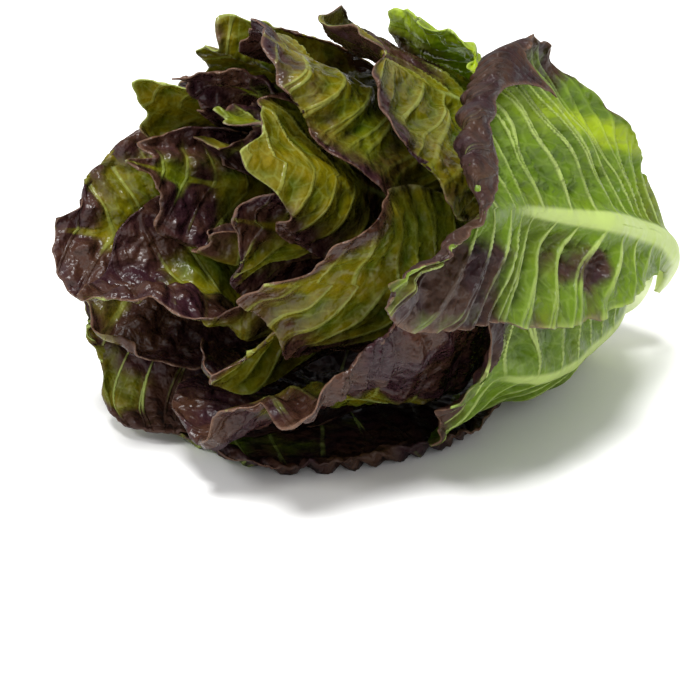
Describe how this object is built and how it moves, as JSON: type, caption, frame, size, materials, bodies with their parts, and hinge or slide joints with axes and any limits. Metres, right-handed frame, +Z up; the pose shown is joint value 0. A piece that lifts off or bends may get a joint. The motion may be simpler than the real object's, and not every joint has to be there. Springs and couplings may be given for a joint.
{
  "type": "red romaine lettuce head",
  "caption": "Loose head of red romaine lettuce lying on its side: broad ribbed leaves set in a spiral on a short stem core, green outside and purple within.",
  "frame": {"origin": "on the table, under the middle of the head's bounding box", "axes": "+Z up from the table, +X from the leaf tips towards the cut butt, +Y completes the right-hand set"},
  "size_m": [0.297, 0.2554, 0.1924],
  "materials": {
    "outer_leaf": "fresh green leaf, semi-gloss, pale raised veins",
    "inner_leaf": "dark purple leaf, glossy and blistered, olive on its outer face",
    "heart_leaf": "young olive leaf with purple margins, glossy",
    "stem": "pale cut stem, moist"
  },
  "bodies": {
    "root": {"leaf_01_outer": "outer_leaf", "leaf_02_outer": "outer_leaf", "leaf_03_outer": "outer_leaf", "leaf_04_outer": "outer_leaf", "leaf_05_outer": "outer_leaf", "leaf_06_inner": "inner_leaf", "leaf_07_inner": "inner_leaf", "leaf_08_inner": "inner_leaf", "leaf_09_inner": "inner_leaf", "leaf_10_inner": "inner_leaf", "leaf_11_inner": "inner_leaf", "leaf_12_inner": "inner_leaf", "leaf_13_inner": "inner_leaf", "leaf_14_inner": "inner_leaf", "leaf_15_inner": "inner_leaf", "leaf_16_inner": "inner_leaf", "leaf_17_inner": "inner_leaf", "leaf_18_inner": "inner_leaf", "leaf_19_heart": "heart_leaf", "leaf_20_heart": "heart_leaf", "leaf_21_heart": "heart_leaf", "leaf_22_heart": "heart_leaf", "stem_core": "stem"}
  },
  "joints": []
}
